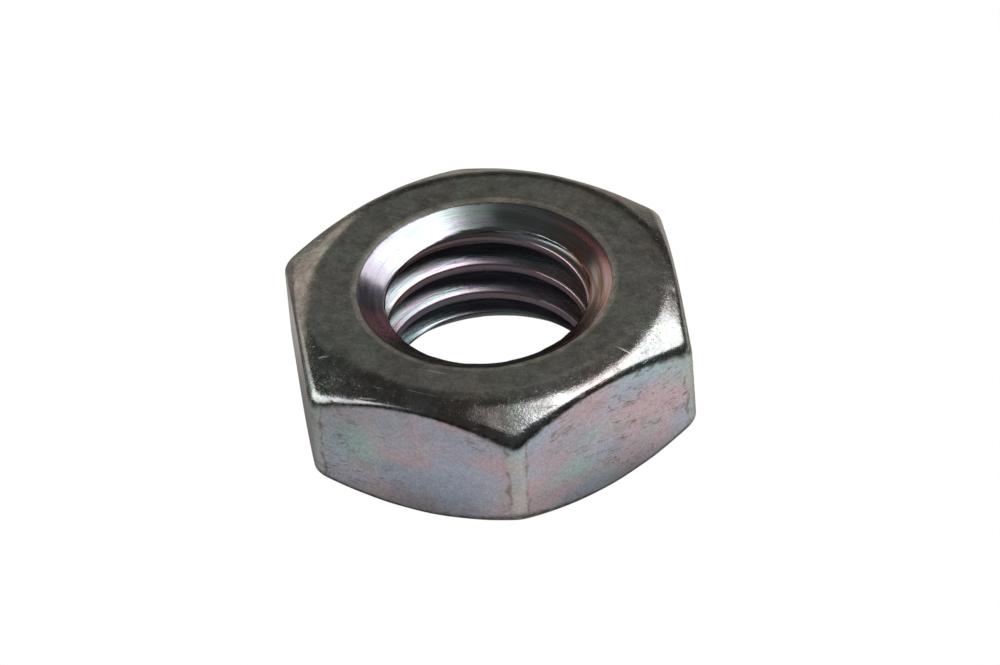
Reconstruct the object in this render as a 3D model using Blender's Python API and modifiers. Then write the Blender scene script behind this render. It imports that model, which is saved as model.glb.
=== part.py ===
"""A thin hexagon nut with an M8 x 1.25 thread, 13 mm across flats and 5.2 mm high.

A nut is one forged and tapped piece of steel, so the model is one solid. The bore runs along +Z, the lower
bearing face lies on z = 0 with the origin at its centre, and two of the six wrench flats face -Y and +Y.
"""

import math

import bmesh
import bpy
from mathutils import Matrix

MM = 0.001

# Hexagon blank
ACROSS_FLATS = 13.0 * MM
HEIGHT = 5.2 * MM
CORNER_RADIUS = 0.45 * MM
CORNER_SEGMENTS = 4

# Chamfers turned on both ends: a flat bearing face, a soft shoulder and a cone that trims the corners
CHAMFER_DIAMETER = 11.82 * MM  # where the cone would meet the bearing face with no shoulder
CHAMFER_ANGLE = math.radians(31)
SHOULDER_RADIUS = 1.7 * MM

# Tapped bore, M8 x 1.25, right-handed, countersunk at both ends
PITCH = 1.25 * MM
MAJOR_DIAMETER = 8.16 * MM
MINOR_DIAMETER = 6.8 * MM
ROOT_WIDTH = 0.2 * MM
FLANK_ANGLE = math.radians(30)
GROOVE_HEIGHT_AT_X = 0.78 * MM  # where the middle of the lowest groove crosses the +X side

# Countersinks: a cone at an angle to the end face, reached over a rounded lip
TOP_COUNTERSINK_DIAMETER = 8.76 * MM  # where the cone would meet the bearing face with no lip
TOP_COUNTERSINK_ANGLE = math.radians(33)
TOP_LIP_RADIUS = 0.6 * MM
TOP_LIP_ANGLE = math.radians(22)  # the lip stops short of the cone's angle, which leaves a crease
BOTTOM_COUNTERSINK_DIAMETER = 8.8 * MM
BOTTOM_COUNTERSINK_ANGLE = math.radians(45)
BOTTOM_LIP_RADIUS = 0.25 * MM

# Facets and cutter margins
ROUND_STEPS = 72
ARC_STEPS = 4
MARGIN = 1.0 * MM
THREAD_MARGIN = 0.1 * MM  # how far the thread cutter stands inside the drilled bore
WELD_DISTANCE = 0.001 * MM

# Bright zinc plating over steel
PLATING_COLOUR = (0.42, 0.41, 0.43, 1.0)
PLATING_ROUGHNESS = 0.32


def clear_scene():
    for obj in list(bpy.data.objects):
        bpy.data.objects.remove(obj, do_unlink=True)


def new_collection(name):
    collection = bpy.data.collections.new(name)
    bpy.context.scene.collection.children.link(collection)
    return collection


def new_object(name, mesh, collection):
    obj = bpy.data.objects.new(name, mesh)
    collection.objects.link(obj)
    return obj


def mesh_from(bm, name):
    mesh = bpy.data.meshes.new(name)
    bmesh.ops.recalc_face_normals(bm, faces=bm.faces)
    bm.to_mesh(mesh)
    bm.free()
    return mesh


def plating_material():
    material = bpy.data.materials.new("zinc_plating")
    material.use_nodes = True
    shader = material.node_tree.nodes["Principled BSDF"]
    shader.inputs["Base Color"].default_value = PLATING_COLOUR
    shader.inputs["Metallic"].default_value = 1.0
    shader.inputs["Roughness"].default_value = PLATING_ROUGHNESS
    return material


def arc(centre, radius, start, end, steps=ARC_STEPS):
    """Points (r, z) along an arc, its angles measured from +r towards +z."""
    angles = (start + (end - start) * i / steps for i in range(steps + 1))
    return [(centre[0] + radius * math.cos(a), centre[1] + radius * math.sin(a)) for a in angles]


def turned(name, profile, collection):
    """A profile of (r, z) points, from top to bottom on its outer side, turned about Z."""
    mesh = bpy.data.meshes.new(name)
    edges = [(i, i + 1) for i in range(len(profile) - 1)]
    mesh.from_pydata([(r, 0.0, z) for r, z in profile], edges, [])
    obj = new_object(name, mesh, collection)
    screw = obj.modifiers.new("turn", "SCREW")
    screw.axis = "Z"
    screw.steps = ROUND_STEPS
    screw.render_steps = ROUND_STEPS
    screw.use_merge_vertices = True
    screw.merge_threshold = 0.00001
    screw.use_smooth_shade = True
    return obj


def turned_over(upper_end):
    """The (r, z) points of an upper end, turned over about mid-height and still from top to bottom."""
    return [(r, HEIGHT - z) for r, z in reversed(upper_end)]


def hexagon_blank(collection):
    """A hexagon bar longer than the nut, with flats facing -Y and +Y and rounded corners."""
    bm = bmesh.new()
    corner = ACROSS_FLATS / 2 / math.cos(math.pi / 6)
    placed = Matrix.Translation((0, 0, HEIGHT / 2)) @ Matrix.Rotation(math.pi / 6, 4, "Z")
    bmesh.ops.create_cone(
        bm,
        cap_ends=True,
        segments=6,
        radius1=corner,
        radius2=corner,
        depth=HEIGHT + 2 * MARGIN,
        matrix=placed,
    )
    upright = [e for e in bm.edges if abs(e.verts[0].co.z - e.verts[1].co.z) > HEIGHT]
    bmesh.ops.bevel(
        bm,
        geom=upright,
        offset=CORNER_RADIUS * math.tan(math.pi / 6),
        segments=CORNER_SEGMENTS,
        profile=0.5,
        affect="EDGES",
    )
    return new_object("hex_nut", mesh_from(bm, "hex_nut"), collection)


def chamfer_envelope(collection):
    """The turned shape that the hexagon is trimmed to: flat faces, soft shoulders and cones."""
    meeting_radius = CHAMFER_DIAMETER / 2
    shoulder_start = meeting_radius - SHOULDER_RADIUS * math.tan(CHAMFER_ANGLE / 2)
    rim = ACROSS_FLATS / 2 + MARGIN + MARGIN
    end = [(0.0, HEIGHT)]
    end += arc(
        (shoulder_start, HEIGHT - SHOULDER_RADIUS),
        SHOULDER_RADIUS,
        math.pi / 2,
        math.pi / 2 - CHAMFER_ANGLE,
    )
    end += [(rim, HEIGHT - (rim - meeting_radius) * math.tan(CHAMFER_ANGLE))]
    return turned("chamfer_envelope", end + turned_over(end), collection)


def countersunk_end(diameter, angle, lip_radius, lip_angle):
    """The upper end of the bore cutter: a rounded lip, a cone at this angle to the face, then the drilled bore."""
    mouth = diameter / 2
    minor = MINOR_DIAMETER / 2
    lip_depth = lip_radius * (1 - math.cos(lip_angle))
    lip_start = mouth - lip_depth / math.tan(angle) + lip_radius * math.sin(lip_angle)
    lip = arc(
        (lip_start, HEIGHT - lip_radius),
        lip_radius,
        math.pi / 2,
        math.pi / 2 + lip_angle,
    )
    throat = (minor, HEIGHT - (mouth - minor) * math.tan(angle))
    return [(0.0, HEIGHT + MARGIN), (lip_start, HEIGHT + MARGIN), *lip, throat]


def bore_cutter(collection):
    """The drilled bore with a countersink at each end."""
    top = countersunk_end(
        TOP_COUNTERSINK_DIAMETER,
        TOP_COUNTERSINK_ANGLE,
        TOP_LIP_RADIUS,
        TOP_LIP_ANGLE,
    )
    bottom = countersunk_end(
        BOTTOM_COUNTERSINK_DIAMETER,
        BOTTOM_COUNTERSINK_ANGLE,
        BOTTOM_LIP_RADIUS,
        BOTTOM_COUNTERSINK_ANGLE,
    )
    return turned("bore_cutter", top + turned_over(bottom), collection)


def thread_cutter(collection):
    """One groove section wound up the bore as a right-handed helix."""
    root = MAJOR_DIAMETER / 2
    inside = MINOR_DIAMETER / 2 - THREAD_MARGIN
    root_half = ROOT_WIDTH / 2
    mouth_half = root_half + (root - inside) * math.tan(FLANK_ANGLE)
    start = GROOVE_HEIGHT_AT_X - 2 * PITCH
    turns = math.ceil((HEIGHT + MARGIN - start) / PITCH)
    section = [(inside, -mouth_half), (root, -root_half), (root, root_half), (inside, mouth_half)]
    bm = bmesh.new()
    verts = [bm.verts.new((r, 0.0, start + z)) for r, z in section]
    face = bm.faces.new(verts)
    bmesh.ops.spin(
        bm,
        geom=[face, *face.edges, *face.verts],
        cent=(0, 0, 0),
        axis=(0, 0, 1),
        dvec=(0, 0, PITCH / ROUND_STEPS),
        angle=2 * math.pi * turns,
        steps=ROUND_STEPS * turns,
        use_duplicate=False,
    )
    return new_object("thread_cutter", mesh_from(bm, "thread_cutter"), collection)


def apply_boolean(obj, operation, cutter):
    modifier = obj.modifiers.new(cutter.name, "BOOLEAN")
    modifier.operation = operation
    modifier.object = cutter
    cutter.hide_render = True
    cutter.display_type = "WIRE"


def weld_seams(obj):
    """Joins the points that the cuts leave side by side where two facets met."""
    weld = obj.modifiers.new("weld", "WELD")
    weld.merge_threshold = WELD_DISTANCE


def main():
    clear_scene()
    parts = new_collection("hex_nut")
    cutters = new_collection("cutters")
    nut = hexagon_blank(parts)
    nut.data.materials.append(plating_material())
    apply_boolean(nut, "INTERSECT", chamfer_envelope(cutters))
    apply_boolean(nut, "DIFFERENCE", bore_cutter(cutters))
    apply_boolean(nut, "DIFFERENCE", thread_cutter(cutters))
    weld_seams(nut)


main()
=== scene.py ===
"""A zinc-plated thin hexagon nut on a white sweep, seen from above at three-quarter view."""

import math
import random

import bpy
import numpy as np
from mathutils import Matrix, Quaternion, Vector, noise


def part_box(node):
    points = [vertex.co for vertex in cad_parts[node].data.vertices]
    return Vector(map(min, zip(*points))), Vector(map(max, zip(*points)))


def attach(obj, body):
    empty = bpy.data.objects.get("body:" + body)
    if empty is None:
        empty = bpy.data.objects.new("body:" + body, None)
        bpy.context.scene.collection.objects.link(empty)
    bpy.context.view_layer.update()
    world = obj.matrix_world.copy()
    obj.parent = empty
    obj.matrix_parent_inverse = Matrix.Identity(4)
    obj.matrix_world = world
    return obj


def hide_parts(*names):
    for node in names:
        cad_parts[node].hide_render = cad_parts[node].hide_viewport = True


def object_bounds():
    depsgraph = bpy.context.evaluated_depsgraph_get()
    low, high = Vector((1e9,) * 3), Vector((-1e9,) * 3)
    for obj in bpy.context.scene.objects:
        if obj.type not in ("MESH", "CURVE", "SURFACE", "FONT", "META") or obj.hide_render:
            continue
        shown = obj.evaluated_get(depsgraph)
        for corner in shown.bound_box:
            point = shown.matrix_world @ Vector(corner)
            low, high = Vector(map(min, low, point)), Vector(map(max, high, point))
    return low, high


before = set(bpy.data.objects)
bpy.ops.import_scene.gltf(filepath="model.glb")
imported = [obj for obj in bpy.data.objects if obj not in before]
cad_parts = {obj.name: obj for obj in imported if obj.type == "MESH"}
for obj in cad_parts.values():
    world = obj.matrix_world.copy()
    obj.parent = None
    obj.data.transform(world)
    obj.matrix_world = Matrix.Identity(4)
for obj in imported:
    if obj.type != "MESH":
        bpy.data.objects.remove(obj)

cad_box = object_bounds()
nut_low, nut_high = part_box("hex_nut")
MM = 0.001

# ---------------------------------------------------------------- sizes, in millimetres
# Hexagon
HEIGHT = (nut_high.z - nut_low.z) / MM
HALF_FLATS = nut_high.y / MM
APEX = nut_high.x / MM
CORNER_DISTANCE = HALF_FLATS / math.cos(math.pi / 6)  # where two flats would meet with no rounding
CORNER_RADIUS = (CORNER_DISTANCE - APEX) / (1 / math.cos(math.pi / 6) - 1)
CORNER_CENTRE = CORNER_DISTANCE - CORNER_RADIUS / math.cos(math.pi / 6)

# Chamfers turned on both ends, and the edge between chamfer and flat
CHAMFER_RADIUS = 5.91  # where the cone would meet the end face with no shoulder
CHAMFER_ANGLE = math.radians(31)
SHOULDER_RADIUS = 1.7
EDGE_RADIUS = 0.34
EDGE_RADIUS_AT_CORNERS = 0.80
EDGE_UNEVENNESS = 0.05
EDGE_WAVES_PER_MM = 0.6

# Tapped bore, right-handed
PITCH = 1.25
ROOT_RADIUS = 4.08
MINOR_RADIUS = 3.4
ROOT_WIDTH = 0.2
FLANK_ANGLE = math.radians(30)
GROOVE_HEIGHT_AT_X = 0.78  # where the middle of the lowest groove crosses the +X side
CREST_ROUNDING = 0.05
CREST_WANDER = 0.012  # how far the thread's wall wanders in and out

# Countersinks: a cone at an angle to the end face, reached over a rounded lip
TOP_MOUTH_RADIUS = 4.38
TOP_MOUTH_ANGLE = math.radians(33)
TOP_LIP_RADIUS = 0.6
TOP_LIP_ANGLE = math.radians(22)  # the lip stops short of the cone's angle, which leaves a crease
BOTTOM_MOUTH_RADIUS = 4.4
BOTTOM_MOUTH_ANGLE = math.radians(45)
BOTTOM_LIP_RADIUS = 0.25
RUNOUT_ROUNDING = 0.03  # where a groove runs out into a cone
CLOSED_START = 4.3  # heights over which the last half turn of the thread fades out
CLOSED_END = 4.75

# Film and painted shade: how strong they are, and the slopes in degrees and depths in millimetres that set
# them
THINNEST_FILM = 0.25
# painted dark reflection: a dark band painted at the foot of the outer edge
EDGE_PAINTED_REFLECTION = 0.95
EDGE_PAINTED_REFLECTION_SLOPE = 69
EDGE_PAINTED_REFLECTION_SPREAD = 12
# painted shade: a thin dark line painted in the crease inside the upper lip
CREASE_PAINTED_SHADE = 0.8
CREASE_PAINTED_SHADE_SPREAD = 2.5
# painted shade in the thread: its strength, its swing between flanks, and the depths below the upper face
# over which it comes in
THREAD_PAINTED_SHADE = 0.38
THREAD_PAINTED_SHADE_SWING = 0.45
UNSHADED_DEPTH = 0.3
FULLY_SHADED_DEPTH = 0.8

# Wear on the outside
WAVE_DEPTH_ON_FACES = 0.003
WAVE_DEPTH_ON_EDGES = 0.022
WAVES_PER_MM = 0.9
NICKS = 34
NICK_SEED = 11
NICK_WIDTHS = (0.10, 0.26)
NICK_DEPTHS = (0.006, 0.02)
NICK_SQUASH = (0.8, 2.0)  # how much shorter a nick is upwards than sideways

# Mesh: columns round the nut, and rows across each stretch of its section
COLUMNS = 360
CORNER_CROWDING = 0.55
LIP_ROWS = 8
FACE_ROWS = 10
SHOULDER_ROWS = 10
CHAMFER_ROWS = 8
EDGE_ROWS = 11
FLAT_ROWS = 7
ROWS_PER_PITCH = 38
BEND_CROWDING = 0.35
PHASE_SAMPLES = 2001
ROW_MARGIN = 0.4 * PITCH / ROWS_PER_PITCH  # least gap between the bore's rows and the lips
THREAD_TURNS = range(-4, 7)  # pitches, from below the nut to above it
CONE_BLEND = 0.05  # how far the thread cuts below a cone before a place counts as thread


# ---------------------------------------------------------------- the nut's shape
def column_angles():
    """Angles about the bore, crowded at the six corners."""
    even = np.arange(COLUMNS) / COLUMNS * 2 * math.pi
    return even - CORNER_CROWDING * np.sin(6 * even) / 6


def angle_from_corner(angle):
    return (angle + math.pi / 6) % (math.pi / 3) - math.pi / 6


def hexagon_radius(angle):
    """Distance from the bore axis to the rounded hexagon."""
    from_corner = angle_from_corner(angle)
    from_flat = math.pi / 6 - np.abs(from_corner)
    flat = HALF_FLATS / np.cos(from_flat)
    flat_half_length = (HALF_FLATS - CORNER_RADIUS) * math.tan(math.pi / 6)
    inside = np.maximum(CORNER_RADIUS**2 - (CORNER_CENTRE * np.sin(from_corner)) ** 2, 0)
    corner = CORNER_CENTRE * np.cos(from_corner) + np.sqrt(inside)
    return np.where(HALF_FLATS * np.tan(from_flat) < flat_half_length, flat, corner)


def slow_noise(points, per_mm, seed):
    """Smooth values between -1 and 1 at points in millimetres, the same each run."""
    offset = Vector((seed, -seed, 0.5 * seed))
    return np.array([noise.noise(Vector(point) * per_mm + offset) for point in points])


def edge_radii(angles, hexagon, seed):
    """The radius of the outer edge at every column: softer at the corners, and a little uneven."""
    rim = np.column_stack([np.cos(angles), np.sin(angles), 0 * angles]) * HALF_FLATS
    share = (hexagon - HALF_FLATS) / (APEX - HALF_FLATS)
    softening = (EDGE_RADIUS_AT_CORNERS - EDGE_RADIUS) * share
    return EDGE_RADIUS + softening + EDGE_UNEVENNESS * slow_noise(rim, EDGE_WAVES_PER_MM, seed)


def lip_section(mouth, mouth_angle, lip_radius, lip_angle):
    """The rounded lip as rows of (radius, depth, slope), from lip_angle inside to flat at the face."""
    lip_depth = lip_radius * (1 - math.cos(lip_angle))
    lip_end = mouth - lip_depth / math.tan(mouth_angle) + lip_radius * math.sin(lip_angle)
    rows = []
    for turn in np.linspace(lip_angle, 0, LIP_ROWS):
        rows.append((lip_end - lip_radius * math.sin(turn), lip_radius * (1 - math.cos(turn)), -turn))
    return rows


def end_section(lip, hexagon, edge_radius):
    """One end at every column, from the lip out over the bearing face and chamfer to mid-height.

    Rows of (radius, depth below the end face, slope), the first two as arrays over the columns."""
    rows = list(lip)
    shoulder_start = CHAMFER_RADIUS - SHOULDER_RADIUS * math.tan(CHAMFER_ANGLE / 2)
    for radius in np.linspace(lip[-1][0], shoulder_start, FACE_ROWS)[1:]:
        rows.append((radius, 0.0, 0.0))
    for turn in np.linspace(0, CHAMFER_ANGLE, SHOULDER_ROWS)[1:]:
        radius = shoulder_start + SHOULDER_RADIUS * math.sin(turn)
        rows.append((radius, SHOULDER_RADIUS * (1 - math.cos(turn)), turn))
    cone_start, cone_start_depth, _ = rows[-1]
    tangent = edge_radius * math.tan((math.pi / 2 - CHAMFER_ANGLE) / 2)
    corner_depth = cone_start_depth + (hexagon - cone_start) * math.tan(CHAMFER_ANGLE)
    cone_end = hexagon - tangent * math.cos(CHAMFER_ANGLE)
    cone_end_depth = corner_depth - tangent * math.sin(CHAMFER_ANGLE)
    for share in np.linspace(0, 1, CHAMFER_ROWS)[1:]:
        radius = cone_start + (cone_end - cone_start) * share
        rows.append((radius, cone_start_depth + (cone_end_depth - cone_start_depth) * share, CHAMFER_ANGLE))
    centre_radius = hexagon - edge_radius
    centre_depth = corner_depth + tangent
    for turn in np.linspace(CHAMFER_ANGLE, math.pi / 2, EDGE_ROWS)[1:]:
        radius = centre_radius + edge_radius * math.sin(turn)
        rows.append((radius, centre_depth - edge_radius * math.cos(turn), turn))
    for share in np.linspace(0, 1, FLAT_ROWS)[1:]:
        rows.append((hexagon, centre_depth + (HEIGHT / 2 - centre_depth) * share, math.pi / 2))
    ones = np.ones_like(hexagon)
    return [(radius * ones, depth * ones, slope) for radius, depth, slope in rows]


def smooth_max(a, b, rounding):
    blend = np.clip(0.5 + 0.5 * (a - b) / rounding, 0, 1)
    return b + (a - b) * blend + rounding * blend * (1 - blend) / 2


def thread_radius(phase):
    """Wall radius of the tapped bore at a height above the middle of a groove."""
    away = np.abs((phase + PITCH / 2) % PITCH - PITCH / 2)
    flank = ROOT_RADIUS - (away - ROOT_WIDTH / 2) / math.tan(FLANK_ANGLE)
    flank = -smooth_max(-flank, np.full_like(flank, -ROOT_RADIUS), 2 * CREST_ROUNDING)
    return smooth_max(flank, np.full_like(flank, MINOR_RADIUS), 2 * CREST_ROUNDING)


def cone_radius(height):
    """Wall radius of the two countersinks."""
    top = TOP_MOUTH_RADIUS - (HEIGHT - height) / math.tan(TOP_MOUTH_ANGLE)
    bottom = BOTTOM_MOUTH_RADIUS - height / math.tan(BOTTOM_MOUTH_ANGLE)
    return np.maximum(top, bottom)


def closed_thread(threads, heights):
    """The thread's last half turn fades out towards the upper countersink, pressed after tapping."""
    share = np.clip((heights - CLOSED_START) / (CLOSED_END - CLOSED_START), 0, 1)
    return threads + (MINOR_RADIUS - threads) * share * share * (3 - 2 * share)


def row_phases():
    """Heights of the rows within one pitch, closer together where the thread's section turns."""
    fine = np.linspace(0, PITCH, PHASE_SAMPLES)
    radius = thread_radius(fine)
    slope = np.gradient(radius, fine)
    density = np.sqrt(1 + slope**2) + BEND_CROWDING * np.abs(np.gradient(np.arctan(slope), fine))
    run = np.concatenate([[0], np.cumsum((density[1:] + density[:-1]) / 2)])
    return np.interp(np.arange(ROWS_PER_PITCH) / ROWS_PER_PITCH * run[-1], run, fine)


class Shell:
    """Points and faces of the mesh as it is built, with the weights that the materials read.

    film is how strongly the plating colours a place on the outside, and in the bore how far the place lies
    in the thread and not on a cone. The painted-shade weight is how much painted shade darkens a place.
    corner is its distance from the plane through the nearest corner of the hexagon and the bore axis, in
    millimetres."""

    def __init__(self):
        self.points = []
        self.normals = []
        self.weights = {"film": [], "painted_shade": [], "corner": []}
        self.faces = []

    def add(self, point, normal, film, painted_shade, corner):
        self.points.append(point)
        self.normals.append(normal)
        for name, value in (("film", film), ("painted_shade", painted_shade), ("corner", corner)):
            self.weights[name].append(value)
        return len(self.points) - 1

    def add_strip(self, left, right):
        """Closes the strip between two upright runs of points, both from bottom to top."""
        while len(left) > 1 or len(right) > 1:
            if len(left) == len(right):
                self.faces.append((left[1], right[1], right[0], left[0]))
                left, right = left[1:], right[1:]
            elif len(left) > len(right):
                self.faces.append((left[1], right[0], left[0]))
                left = left[1:]
            else:
                self.faces.append((right[1], right[0], left[0]))
                right = right[1:]


def film_weight(slope):
    """The film is thin on the rubbed end faces and strong on the flats."""
    return THINNEST_FILM + (1 - THINNEST_FILM) * math.sin(abs(slope)) ** 2


def hump(value, centre, width):
    """1 at the centre, falling off to nothing a few widths away."""
    return math.exp(-(((value - centre) / width) ** 2))


def painted_shade_weight(slope):
    """Painted dark reflection in a band along the foot of the outer edge, and painted shade in the crease
    inside the upper lip.
    """
    steepness = math.degrees(slope)
    edge = EDGE_PAINTED_REFLECTION * hump(steepness, EDGE_PAINTED_REFLECTION_SLOPE, EDGE_PAINTED_REFLECTION_SPREAD)
    crease = CREASE_PAINTED_SHADE * hump(steepness, -math.degrees(TOP_LIP_ANGLE), CREASE_PAINTED_SHADE_SPREAD)
    return edge + crease


def add_outside(shell, angles):
    """The rings from the upper lip, round the outside, to the lower lip. Returns the first and last."""
    hexagon = hexagon_radius(angles)
    upper_lip = lip_section(TOP_MOUTH_RADIUS, TOP_MOUTH_ANGLE, TOP_LIP_RADIUS, TOP_LIP_ANGLE)
    lower_lip = lip_section(BOTTOM_MOUTH_RADIUS, BOTTOM_MOUTH_ANGLE, BOTTOM_LIP_RADIUS, BOTTOM_MOUTH_ANGLE)
    upper_rows = end_section(upper_lip, hexagon, edge_radii(angles, hexagon, seed=3.0))
    lower_rows = end_section(lower_lip, hexagon, edge_radii(angles, hexagon, seed=8.0))
    rows = [(radius, HEIGHT - depth, slope, 1) for radius, depth, slope in upper_rows]
    rows += [(radius, depth, slope, -1) for radius, depth, slope in reversed(lower_rows[:-1])]
    rings = []
    for radii, heights, slope, side in rows:
        ring = []
        for angle, radius, height in zip(angles, radii, heights):
            x, y = math.cos(angle), math.sin(angle)
            normal = (x * math.sin(slope), y * math.sin(slope), side * math.cos(slope))
            corner = abs(radius * math.sin(angle_from_corner(angle)))
            point = (radius * x, radius * y, height)
            # the painted-shade weight paints a dark reflection band at the outer edge and shade in the
            # lip's crease
            ring.append(shell.add(point, normal, film_weight(slope), painted_shade_weight(slope), corner))
        rings.append(ring)
    for upper, lower in zip(rings, rings[1:]):
        for i in range(COLUMNS):
            j = (i + 1) % COLUMNS
            shell.faces.append((upper[i], lower[i], lower[j], upper[j]))
    return rings[0], rings[-1]


def wear(shell):
    """Slight waves and small nicks on the outside. They only ever go inwards."""
    points = np.array(shell.points)
    normals = np.array(shell.normals)
    slopes = np.arccos(np.clip(np.abs(normals[:, 2]), 0, 1))
    share = np.sin(2 * slopes) ** 2
    depth = WAVE_DEPTH_ON_FACES + (WAVE_DEPTH_ON_EDGES - WAVE_DEPTH_ON_FACES) * share
    depth = depth * (0.5 + 0.5 * slow_noise(points, WAVES_PER_MM, seed=5.0))
    draw = random.Random(NICK_SEED)
    for _ in range(NICKS):
        centre = points[draw.randrange(len(points))]
        width = draw.uniform(*NICK_WIDTHS)
        away = np.linalg.norm((points - centre) * (1, 1, draw.uniform(*NICK_SQUASH)), axis=1)
        depth += draw.uniform(*NICK_DEPTHS) * np.exp(-((away / width) ** 2))
    shell.points = [tuple(p) for p in points - depth[:, None] * normals]


def thread_painted_shade(phase, depth):
    """Painted shade in the thread: most on the flank that faces down, and none near the mouth."""
    sheltered = min(max((depth - UNSHADED_DEPTH) / (FULLY_SHADED_DEPTH - UNSHADED_DEPTH), 0), 1)
    return sheltered * (THREAD_PAINTED_SHADE + THREAD_PAINTED_SHADE_SWING * math.sin(2 * math.pi * phase / PITCH))


def bore_columns(shell, angles, bottom, top):
    """The bore's points at every column between two heights: for each, its row's number and the point's."""
    phases = row_phases()
    threads = thread_radius(phases)
    columns = []
    for angle in angles:
        x, y = math.cos(angle), math.sin(angle)
        climb = GROOVE_HEIGHT_AT_X + PITCH * angle / (2 * math.pi)
        column = {}
        for turn in THREAD_TURNS:
            heights = climb + phases + PITCH * turn
            cones = cone_radius(heights)
            cut = closed_thread(threads, heights)
            radii = smooth_max(cut, cones, RUNOUT_ROUNDING)
            for k in np.nonzero((heights > bottom + ROW_MARGIN) & (heights < top - ROW_MARGIN))[0]:
                height = heights[k]
                on_thread = min(max((cut[k] - cones[k]) / CONE_BLEND, 0), 1)
                wander = CREST_WANDER * noise.noise((3 * x, 3 * y, 0.8 * height)) * on_thread
                point = ((radii[k] + wander) * x, (radii[k] + wander) * y, height)
                # painted shade in the thread
                painted_shade = on_thread * thread_painted_shade(phases[k], top - height)
                row = turn * ROWS_PER_PITCH + k
                column[row] = shell.add(point, (-x, -y, 0), on_thread, painted_shade, HALF_FLATS)
        columns.append(column)
    return columns


def add_bore(shell, angles, top_ring, bottom_ring):
    """The countersinks and thread between the two lips, in rows that climb with the thread."""
    top = shell.points[top_ring[0]][2]
    bottom = shell.points[bottom_ring[0]][2]
    columns = bore_columns(shell, angles, bottom, top)
    for i in range(COLUMNS):
        j = (i + 1) % COLUMNS
        here, there = columns[i], columns[j]
        if j == 0:
            there = {k - ROWS_PER_PITCH: v for k, v in there.items()}
        shared = sorted(set(here) & set(there))
        first, last = shared[0], shared[-1]
        for k in shared[:-1]:
            shell.faces.append((here[k + 1], there[k + 1], there[k], here[k]))
        left = [here[k] for k in sorted(here) if k > last]
        right = [there[k] for k in sorted(there) if k > last]
        shell.add_strip([here[last], *left, top_ring[i]], [there[last], *right, top_ring[j]])
        left = [here[k] for k in sorted(here) if k < first]
        right = [there[k] for k in sorted(there) if k < first]
        shell.add_strip([bottom_ring[i], *left, here[first]], [bottom_ring[j], *right, there[first]])


def mesh_of(shell):
    mesh = bpy.data.meshes.new("nut_body")
    mesh.from_pydata((np.array(shell.points) * MM).tolist(), [], shell.faces)
    for name, values in shell.weights.items():
        mesh.attributes.new(name, "FLOAT", "POINT").data.foreach_set("value", values)
    mesh.update()
    return mesh


def build_nut():
    shell = Shell()
    angles = column_angles()
    top_ring, bottom_ring = add_outside(shell, angles)
    wear(shell)
    outside_faces = len(shell.faces)
    add_bore(shell, angles, top_ring, bottom_ring)
    mesh = mesh_of(shell)
    nut = bpy.data.objects.new("nut_body", mesh)
    bpy.context.scene.collection.objects.link(nut)
    mesh.materials.append(forged_material())
    mesh.materials.append(machined_material())
    slots = [0] * outside_faces + [1] * (len(shell.faces) - outside_faces)
    mesh.polygons.foreach_set("material_index", slots)
    mesh.shade_smooth()
    return nut


# ---------------------------------------------------------------- node trees
class Wiring:
    """The nodes of one tree, with a short call for each kind that is used."""

    def __init__(self, tree):
        self.tree = tree

    def node(self, kind):
        return self.tree.nodes.new("ShaderNode" + kind)

    def feed(self, socket, value):
        """Links an output to a socket, or sets the socket's own value."""
        if isinstance(value, bpy.types.NodeSocket):
            self.tree.links.new(value, socket)
        else:
            socket.default_value = value

    def object_place(self):
        return self.node("TexCoord").outputs["Object"]

    def vector(self, operation, a, b=(0, 0, 0)):
        node = self.node("VectorMath")
        node.operation = operation
        self.feed(node.inputs[0], a)
        self.feed(node.inputs[1], b)
        return node.outputs["Value" if operation in ("LENGTH", "DOT_PRODUCT") else "Vector"]

    def number(self, operation, a, b=0.0):
        node = self.node("Math")
        node.operation = operation
        self.feed(node.inputs[0], a)
        self.feed(node.inputs[1], b)
        return node.outputs[0]

    def times(self, a, b):
        return self.number("MULTIPLY", a, b)

    def plus(self, a, b):
        return self.number("ADD", a, b)

    def larger(self, a, b):
        return self.number("MAXIMUM", a, b)

    def band(self, value, start, end, low=0.0, high=1.0):
        """Rises smoothly from low to high as the value goes from start to end."""
        node = self.node("MapRange")
        node.interpolation_type = "SMOOTHSTEP"
        self.feed(node.inputs["Value"], value)
        for name, bound in (("From Min", start), ("From Max", end), ("To Min", low), ("To Max", high)):
            node.inputs[name].default_value = bound
        return node.outputs["Result"]

    def show_camera(self, seen, mirrored, output):
        """Shows the camera one shader and gives the other to reflections."""
        mix = self.node("MixShader")
        self.feed(mix.inputs["Fac"], self.node("LightPath").outputs["Is Camera Ray"])
        self.feed(mix.inputs[1], mirrored)
        self.feed(mix.inputs[2], seen)
        self.feed(output.inputs["Surface"], mix.outputs[0])


GLANCING_TINT = (0.62, 0.56, 0.50, 1)


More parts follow.
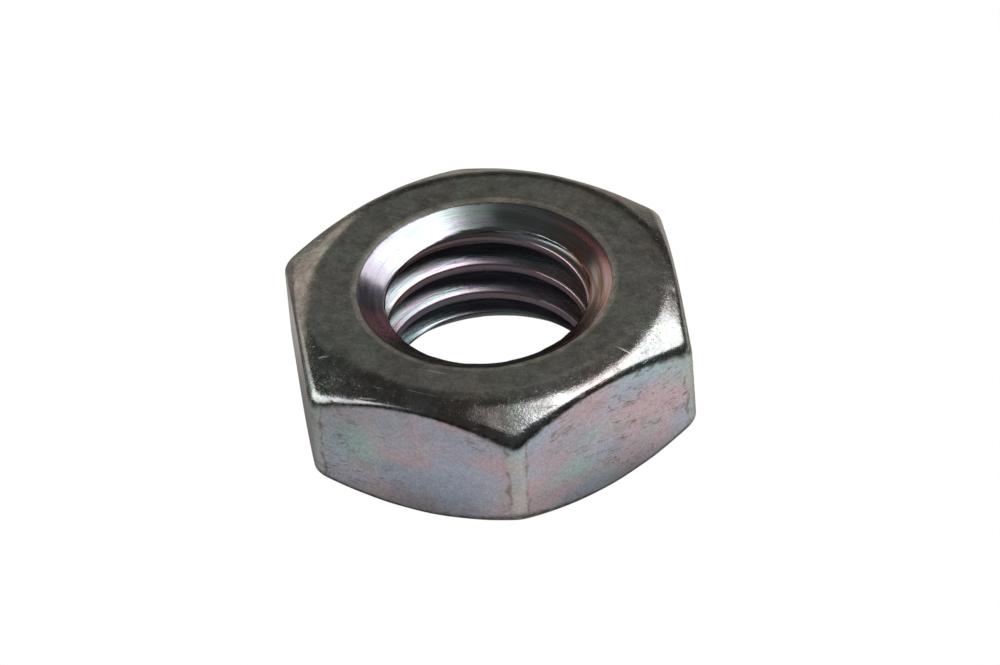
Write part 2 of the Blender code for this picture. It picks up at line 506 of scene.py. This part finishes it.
class Metal(Wiring):
    """One metal material round its Principled shader. Places are in millimetres."""

    def __init__(self, name):
        self.material = bpy.data.materials.new(name)
        self.material.use_nodes = True
        super().__init__(self.material.node_tree)
        self.shader = self.tree.nodes["Principled BSDF"]
        self.shader.inputs["Metallic"].default_value = 1.0
        self.shader.inputs["Specular Tint"].default_value = GLANCING_TINT
        self.place = self.vector("MULTIPLY", self.object_place(), (1 / MM, 1 / MM, 1 / MM))

    def squeezed(self, upwards):
        """The place with its height multiplied, which makes any pattern on it lie flatter."""
        return self.vector("MULTIPLY", self.place, (1.0, 1.0, upwards))

    def moved(self, place, offset):
        return self.vector("ADD", place, offset)

    def radius(self):
        return self.vector("LENGTH", self.vector("MULTIPLY", self.place, (1, 1, 0)))

    def turned(self, angle, stretch):
        """The place turned about the bore axis and stretched."""
        node = self.node("Mapping")
        node.inputs["Rotation"].default_value = (0, 0, math.radians(angle))
        node.inputs["Scale"].default_value = stretch
        self.feed(node.inputs["Vector"], self.place)
        return node.outputs[0]

    def noise(self, place, per_mm, detail=2.0, roughness=0.5, distortion=0.0):
        node = self.node("TexNoise")
        self.feed(node.inputs["Vector"], place)
        node.inputs["Scale"].default_value = per_mm
        node.inputs["Detail"].default_value = detail
        node.inputs["Roughness"].default_value = roughness
        node.inputs["Distortion"].default_value = distortion
        return node.outputs["Fac"]

    def ramp(self, value, stops):
        node = self.node("ValToRGB")
        elements = node.color_ramp.elements
        for at, _ in stops[2:]:
            elements.new(at)
        for element, (at, colour) in zip(elements, stops):
            element.position = at
            element.color = (*colour, 1)
        self.feed(node.inputs["Fac"], value)
        return node.outputs["Color"]

    def mix(self, share, a, b, blend="MIX"):
        node = self.node("Mix")
        node.data_type = "RGBA"
        node.blend_type = blend
        self.feed(node.inputs["Factor"], share)
        for socket, value in ((node.inputs[6], a), (node.inputs[7], b)):
            self.feed(socket, (*value, 1) if isinstance(value, tuple) else value)
        return node.outputs[2]

    def weight(self, name):
        node = self.node("Attribute")
        node.attribute_name = name
        return node.outputs["Fac"]

    def bump(self, height, depth, below=None):
        """Relief of this depth, in millimetres, on top of the relief below it."""
        node = self.node("Bump")
        node.inputs["Distance"].default_value = depth * MM
        self.feed(node.inputs["Height"], height)
        if below is not None:
            self.feed(node.inputs["Normal"], below)
        return node.outputs["Normal"]

    def finish(self, colour, roughness, normal):
        self.feed(self.shader.inputs["Base Color"], colour)
        self.feed(self.shader.inputs["Roughness"], roughness)
        self.feed(self.shader.inputs["Normal"], normal)
        return self.material


# ---------------------------------------------------------------- the outside's material
STEEL = (0.365, 0.365, 0.345)
LILAC = (0.350, 0.325, 0.360)
CLOUD_BROWN = (0.22, 0.20, 0.18)
RUST_BROWN = (0.15, 0.11, 0.075)
CORNER_GREEN = (0.35, 0.41, 0.36)
# colour of the painted shade and painted dark reflection on the outside
OUTSIDE_PAINTED_SHADE = (0.075, 0.075, 0.058)
SCRATCH_AND_GLINT = (0.68, 0.68, 0.65)
LIP_COLOUR = (0.56, 0.54, 0.47)
FLAT_PATCHES = (  # each tint with the offset that gives it its own places
    ((0.30, 0.45, 0.42), 3.0),
    ((0.47, 0.335, 0.36), 31.0),
    ((0.32, 0.37, 0.45), 17.0),
)
GRAIN_SHADES = ((0.3, (0.72, 0.72, 0.72)), (0.7, (1.10, 1.10, 1.10)))
BLOTCH_SHADES = ((0.35, (0.76, 0.73, 0.70)), (0.65, (1.15, 1.16, 1.14)))
LIP_END = 4.58
SCRATCH_ANGLES = (20, 75, 140)
SCRATCH_STRETCH = (0.28, 12.0, 5.0)
SMUDGE_DEPTH = 0.006
GRAIN_DEPTH = 0.0020
FROST_DEPTH = 0.006
RUST_DEPTH = -0.004
PIT_DEPTH = -0.004


def patches(metal, colour, place):
    """Soft patches of interference colour, each kind with its own places."""
    for tint, seed in FLAT_PATCHES:
        lumps = metal.noise(metal.moved(place, (seed, -seed, seed)), 0.36, 1.0, 0.4)
        colour = metal.mix(metal.band(lumps, 0.38, 0.72, 0.0, 0.85), colour, tint)
    return colour


def rust_specks(metal, film):
    """Brown specks and broken veins that lie along the flats, in clusters, fewer on the rubbed faces."""
    rolled = metal.squeezed(4.2)
    specks = metal.band(metal.noise(rolled, 1.9, 5.0, 0.75, 0.4), 0.58, 0.66)
    middle = metal.number("SUBTRACT", metal.noise(rolled, 0.60, 4.0, 0.65, 0.8), 0.5)
    broken = metal.band(metal.noise(metal.place, 1.7, 3.0), 0.48, 0.60)
    veins = metal.times(metal.band(metal.number("ABSOLUTE", middle), 0.026, 0.004), broken)
    specks = metal.larger(specks, metal.times(veins, 0.8))
    clusters = metal.noise(metal.moved(metal.place, (9, 4, 2)), 0.30, 2.0)
    specks = metal.times(specks, metal.band(clusters, 0.42, 0.60, 0.05, 1.0))
    return metal.times(specks, metal.band(film, 0.25, 0.9, 0.25, 0.85))


def corner_strips(metal, colour, corner, film, cloudy):
    """A greenish strip down each corner, with a thin brown line along both its sides on the flats."""
    uneven = metal.noise(metal.place, 2.2, 2.0)
    wandering = metal.plus(corner, metal.band(uneven, 0.3, 0.7, -0.07, 0.07))
    strip = metal.band(wandering, 0.40, 0.24)
    colour = metal.mix(metal.times(strip, 0.45), colour, CORNER_GREEN)
    line = metal.times(metal.band(wandering, 0.24, 0.32), metal.band(wandering, 0.42, 0.34))
    line = metal.times(line, metal.band(film, 0.8, 1.0))
    line = metal.times(line, metal.band(cloudy, 0.40, 0.60, 0.10, 0.65))
    return metal.mix(line, colour, RUST_BROWN)


def scratches(metal):
    """Hairline scratches in a few directions, 1 on a scratch."""
    found = 0.0
    for angle in SCRATCH_ANGLES:
        fine = metal.noise(metal.turned(angle, SCRATCH_STRETCH), 1.0, 0.0, 0.5, 0.25)
        here = metal.noise(metal.turned(angle + 40, (1, 1, 1)), 0.8, 1.0)
        line = metal.times(metal.band(fine, 0.74, 0.81), metal.band(here, 0.55, 0.66))
        found = metal.larger(found, line)
    return found


def light_marks(metal, dots, blotches, rubbed):
    """Scratches on the rubbed faces, where the bare metal shows, and small painted glints there."""
    glints = metal.times(metal.band(dots, 0.60, 0.70), rubbed)
    glints = metal.times(glints, metal.band(blotches, 0.40, 0.60, 0.3, 1.0))
    marks = metal.times(scratches(metal), rubbed)
    return metal.larger(metal.times(marks, 0.9), metal.times(glints, 0.55))


def forged_material():
    """The outside: a cold-forged skin whose thin plating shows lilac, blue and pink, with brown specks."""
    metal = Metal("zinc_forged")
    film = metal.weight("film")
    corner = metal.weight("corner")
    rubbed = metal.band(film, 0.9, 0.4)
    lying = metal.squeezed(1.8)
    cloudy = metal.noise(lying, 0.9, 4.0, 0.6)
    grain = metal.noise(metal.place, 13.0, 3.0, 0.65)
    dots = metal.noise(metal.place, 10.0, 2.0, 0.6)
    blotches = metal.noise(metal.place, 2.6, 4.0, 0.65)
    mottled = metal.band(metal.noise(metal.place, 3.4, 4.0, 0.7), 0.36, 0.58, 0.35, 1.0)
    lip = metal.band(metal.radius(), LIP_END, LIP_END - 0.08)
    specks = rust_specks(metal, film)
    pits = metal.times(metal.band(dots, 0.36, 0.28), metal.band(cloudy, 0.40, 0.60, 0.1, 1.0))
    pits = metal.times(pits, rubbed)
    marks = light_marks(metal, dots, blotches, rubbed)

    colour = metal.mix(film, STEEL, patches(metal, LILAC, lying))
    colour = metal.mix(metal.band(cloudy, 0.45, 0.75, 0.0, 0.40), colour, CLOUD_BROWN)
    colour = metal.mix(specks, colour, RUST_BROWN)
    colour = corner_strips(metal, colour, corner, film, cloudy)
    colour = metal.mix(metal.times(lip, 0.6), colour, LIP_COLOUR)
    # painted shade, mottled: the painted dark band at the outer edge and the dark line in the lip's crease
    colour = metal.mix(metal.times(metal.weight("painted_shade"), mottled), colour, OUTSIDE_PAINTED_SHADE)
    colour = metal.mix(1.0, colour, metal.ramp(grain, GRAIN_SHADES), "MULTIPLY")
    colour = metal.mix(metal.times(pits, 0.7), colour, RUST_BROWN)
    shaded = metal.mix(1.0, colour, metal.ramp(blotches, BLOTCH_SHADES), "MULTIPLY")
    colour = metal.mix(rubbed, colour, shaded)
    # light scratches, and painted glints
    colour = metal.mix(metal.times(marks, 0.8), colour, SCRATCH_AND_GLINT)

    smudges = metal.noise(metal.place, 0.9, 3.0, 0.6)
    roughness = metal.band(smudges, 0.35, 0.70, 0.15, 0.25)
    for rougher, amount in ((specks, 0.12), (marks, 0.25), (lip, 0.22)):
        roughness = metal.plus(roughness, metal.times(rougher, amount))

    frost = metal.times(metal.band(corner, 2.4, 0.8), metal.band(film, 0.30, 0.42))
    relief = metal.bump(smudges, SMUDGE_DEPTH)
    relief = metal.bump(grain, GRAIN_DEPTH, relief)
    relief = metal.bump(metal.times(dots, frost), FROST_DEPTH, relief)
    relief = metal.bump(specks, RUST_DEPTH, relief)
    relief = metal.bump(pits, PIT_DEPTH, relief)
    return metal.finish(colour, roughness, relief)


# ---------------------------------------------------------------- the bore's material
BORE_FILM = (  # interference colours from thin film to thick
    (0.00, (0.38, 0.52, 0.55)),
    (0.35, (0.46, 0.50, 0.53)),
    (0.60, (0.48, 0.40, 0.48)),
    (0.80, (0.38, 0.36, 0.50)),
    (1.00, (0.48, 0.51, 0.48)),
)
CONE_FILM = (
    (0.00, (0.32, 0.38, 0.37)),
    (0.55, (0.34, 0.38, 0.38)),
    (0.80, (0.38, 0.35, 0.44)),
    (1.00, (0.36, 0.44, 0.40)),
)
CREST_FILM = (
    (0.30, (0.42, 0.30, 0.25)),
    (0.50, (0.48, 0.34, 0.39)),
    (0.70, (0.40, 0.38, 0.48)),
)
TURNING_SHADES = ((0.30, (0.60, 0.60, 0.60)), (0.60, (1.08, 1.08, 1.08)))
WARM_SIDE = (0.94, 0.34, 0)  # sides of the bore, as directions from its axis; the tints on them are film colour and also painted reflection
WARM_FILM_AND_REFLECTION = (0.15, 0.085, 0.065)
WARM_RIM_AND_REFLECTION = (0.34, 0.145, 0.155)
DARK_SIDE = (-0.95, -0.31, 0)
DARK_FILM_AND_REFLECTION = (0.22, 0.19, 0.24)
ROSY_SIDE = (-0.67, -0.74, 0)
ROSY_FILM_AND_REFLECTION = (0.62, 0.30, 0.38)
# colour of the painted shade in the thread
BORE_PAINTED_SHADE = (0.085, 0.08, 0.09)
MARKS_CLIMB = 0.7
COARSE_MARK_DEPTH = 0.006
FINE_MARK_DEPTH = 0.0034


def turning_marks(metal, radius, around, along, per_mm, detail, roughness, distortion=0.0):
    """Noise drawn out round the bore, with along lumps to a radian and per_mm across them."""
    parts = metal.node("SeparateXYZ")
    metal.feed(parts.inputs[0], metal.place)
    climb = metal.times(parts.outputs["Z"], MARKS_CLIMB)
    across = metal.node("CombineXYZ")
    metal.feed(across.inputs["Z"], metal.plus(metal.times(radius, per_mm), climb))
    place = metal.vector("ADD", metal.vector("MULTIPLY", around, (along,) * 3), across.outputs[0])
    return metal.noise(place, 1.0, detail, roughness, distortion)


def machined_material():
    """The countersinks and thread: turned and tapped metal with fine marks that run round the bore."""
    metal = Metal("zinc_machined")
    radius = metal.radius()
    around = metal.vector("NORMALIZE", metal.vector("MULTIPLY", metal.place, (1, 1, 0)))
    fine = turning_marks(metal, radius, around, along=3.0, per_mm=26.0, detail=3.0, roughness=0.6)
    coarse = turning_marks(metal, radius, around, along=1.6, per_mm=6.0, detail=2.0, roughness=0.5)
    thickness = turning_marks(metal, radius, around, 1.3, 2.2, 2.0, 0.5, distortion=0.4)
    film = metal.band(thickness, 0.30, 0.70)
    on_thread = metal.weight("film")
    on_cone = metal.number("SUBTRACT", 1.0, on_thread)
    lined = metal.band(on_thread, 0.0, 1.0, 0.55, 1.0)

    def side(towards, start, end, most):
        """A share that rises to most on one side of the bore."""
        return metal.band(metal.vector("DOT_PRODUCT", around, towards), start, end, 0.0, most)

    colour = metal.mix(on_thread, metal.ramp(film, CONE_FILM), metal.ramp(film, BORE_FILM))
    shaded = metal.mix(1.0, colour, metal.ramp(fine, TURNING_SHADES), "MULTIPLY")
    colour = metal.mix(lined, colour, shaded)
    # film colour and painted reflection on fixed sides of the bore: warm on one side, dark and rosy on the
    # cones of others
    warm_film_and_reflection = metal.times(side(WARM_SIDE, 0.35, 0.85, 0.95), metal.band(coarse, 0.35, 0.60, 0.5, 1.0))
    colour = metal.mix(warm_film_and_reflection, colour, metal.mix(metal.band(radius, 3.95, 4.12), WARM_FILM_AND_REFLECTION, WARM_RIM_AND_REFLECTION))
    colour = metal.mix(metal.times(side(DARK_SIDE, 0.88, 0.98, 0.85), on_cone), colour, DARK_FILM_AND_REFLECTION)
    colour = metal.mix(metal.times(side(ROSY_SIDE, 0.955, 0.99, 0.85), on_cone), colour, ROSY_FILM_AND_REFLECTION)
    crest = metal.band(radius, MINOR_RADIUS + 0.10, MINOR_RADIUS + 0.04)
    colour = metal.mix(metal.times(crest, 0.9), colour, metal.ramp(coarse, CREST_FILM))
    spots = metal.band(metal.noise(metal.place, 5.0, 4.0, 0.7), 0.62, 0.70)
    colour = metal.mix(metal.times(spots, 0.6), colour, RUST_BROWN)
    # painted shade in the thread, kept off the crests
    off_crest = metal.number("SUBTRACT", 1.0, metal.times(crest, 0.8))
    bore_shade = metal.times(metal.band(metal.weight("painted_shade"), 0.25, 0.95), off_crest)
    colour = metal.mix(metal.times(bore_shade, 0.9), colour, BORE_PAINTED_SHADE)

    roughness = metal.plus(metal.band(coarse, 0.30, 0.70, 0.16, 0.28), metal.times(on_thread, 0.05))
    relief = metal.bump(metal.times(coarse, lined), COARSE_MARK_DEPTH)
    relief = metal.bump(metal.times(fine, lined), FINE_MARK_DEPTH, relief)
    return metal.finish(colour, roughness, relief)


# ---------------------------------------------------------------- the stage, in metres
CAMERA_AZIMUTH = math.radians(25.56)
CAMERA_ELEVATION = math.radians(40.28)
CAMERA_ROLL = math.radians(-4.85)
CAMERA_DISTANCE = 0.268
CAMERA_RIGHT = 0.00036
CAMERA_UP = 0.00031
SENSOR_WIDTH = 36
LENS = 284.5
LAMP_DISTANCE = 0.5
FLOOR_SIZE = 6
SHADOW_EDGE = (5.5 * MM, 9.5 * MM)  # distances from the nut's axis
SHADOW_LIGHT = 0.22
FAR_EDGE = (14 * MM, 80 * MM)
FAR_LIGHT = 0.30
LAMP_EDGE = (-20 * MM, 24 * MM)  # distances towards the key lamp
LAMP_LIGHT = (0.51, 1.35)
ROOM = (0.075, 0.076, 0.070, 1)
WHITE = (1, 1, 1, 1)
OFF_WHITE = (1.0, 1.0, 0.93)
WARM_WHITE = (1.0, 0.89, 0.81)


def direction(azimuth, elevation):
    """A unit vector towards this azimuth, counted from +X towards +Y, and elevation, in degrees."""
    a, e = math.radians(azimuth), math.radians(elevation)
    return Vector((math.cos(a) * math.cos(e), math.sin(a) * math.cos(e), math.sin(e)))


def make_floor():
    """A white sheet, evenly white to the camera. In reflections it glows, with a painted shadow under the
    nut and painted light that dims away from nut and lamp.
    """
    bpy.ops.mesh.primitive_plane_add(size=FLOOR_SIZE)
    floor = bpy.context.object
    floor.name = "floor"
    material = bpy.data.materials.new("floor")
    material.use_nodes = True
    material.node_tree.nodes.clear()
    wiring = Wiring(material.node_tree)
    place = wiring.object_place()
    distance = wiring.vector("LENGTH", place)
    towards_lamp = wiring.vector("DOT_PRODUCT", place, direction(5, 0))
    shadow = wiring.band(distance, *SHADOW_EDGE, SHADOW_LIGHT, 1.0)
    far = wiring.band(distance, *FAR_EDGE, 1.0, FAR_LIGHT)
    lamp_side = wiring.band(towards_lamp, *LAMP_EDGE, *LAMP_LIGHT)
    mirrored = wiring.node("Emission")
    wiring.feed(mirrored.inputs["Strength"], wiring.times(wiring.times(shadow, far), lamp_side))
    seen = wiring.node("Emission")
    wiring.show_camera(seen.outputs[0], mirrored.outputs[0], wiring.node("OutputMaterial"))
    floor.data.materials.append(material)


def make_world():
    """A dim room to the nut's reflections, white behind it to the camera."""
    world = bpy.data.worlds.new("studio")
    bpy.context.scene.world = world
    world.use_nodes = True
    world.node_tree.nodes.clear()
    wiring = Wiring(world.node_tree)
    room = wiring.node("Background")
    room.inputs["Color"].default_value = ROOM
    backdrop = wiring.node("Background")
    backdrop.inputs["Color"].default_value = WHITE
    wiring.show_camera(backdrop.outputs[0], room.outputs[0], wiring.node("OutputWorld"))


def softbox(name, towards, size, radiance, colour=(1, 1, 1), turn=0):
    """A rectangular lamp in this direction, facing the nut and turned about its own axis, in degrees."""
    width, height = size
    light = bpy.data.lights.new(name, "AREA")
    light.shape = "RECTANGLE"
    light.size = width
    light.size_y = height
    light.energy = radiance * math.pi * width * height
    light.color = colour
    lamp = bpy.data.objects.new(name, light)
    bpy.context.scene.collection.objects.link(lamp)
    lamp.location = towards * LAMP_DISTANCE
    facing = towards.to_track_quat("Z", "Y") @ Quaternion((0, 0, 1), math.radians(turn))
    lamp.rotation_euler = facing.to_euler()
    lamp.visible_camera = False


def make_lamps():
    softbox("key_softbox", direction(37, 47), (0.58, 0.19), 3.5, turn=-39)
    softbox("key_end", direction(-2, 69), (0.15, 0.13), 2.8)
    softbox("overhead_card", direction(92, 62), (0.26, 0.26), 0.12, OFF_WHITE)
    softbox("ceiling_card", direction(-25, 77), (0.24, 0.15), 0.45)
    softbox("left_strip", direction(-150, 19), (0.5, 0.25), 2.6)
    softbox("back_card", direction(115, 37), (0.7, 0.31), 0.15, OFF_WHITE)
    softbox("back_sweep", direction(155, 12), (0.5, 0.25), 0.90, WARM_WHITE)


def make_camera():
    """A long lens in front of the nut, above it and to its right, rolled slightly."""
    ahead = Vector((math.sin(CAMERA_AZIMUTH), -math.cos(CAMERA_AZIMUTH), 0))
    back = math.cos(CAMERA_ELEVATION) * ahead + math.sin(CAMERA_ELEVATION) * Vector((0, 0, 1))
    level = Vector((math.cos(CAMERA_AZIMUTH), math.sin(CAMERA_AZIMUTH), 0))
    right = math.cos(CAMERA_ROLL) * level + math.sin(CAMERA_ROLL) * back.cross(level)
    up = back.cross(right)
    camera_data = bpy.data.cameras.new("camera")
    camera = bpy.data.objects.new("camera", camera_data)
    bpy.context.scene.collection.objects.link(camera)
    centre = (Vector(cad_box[0]) + Vector(cad_box[1])) / 2
    eye = centre + back * CAMERA_DISTANCE + right * CAMERA_RIGHT + up * CAMERA_UP
    camera.matrix_world = Matrix.Translation(eye) @ Matrix((right, up, back)).transposed().to_4x4()
    camera_data.sensor_width = SENSOR_WIDTH
    camera_data.lens = LENS
    camera_data.clip_start = 0.01
    camera_data.clip_end = 10
    bpy.context.scene.camera = camera


make_camera()
make_floor()
make_world()
make_lamps()
bpy.context.scene.view_settings.view_transform = "Standard"

nut = build_nut()
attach(nut, "root")
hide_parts("hex_nut")
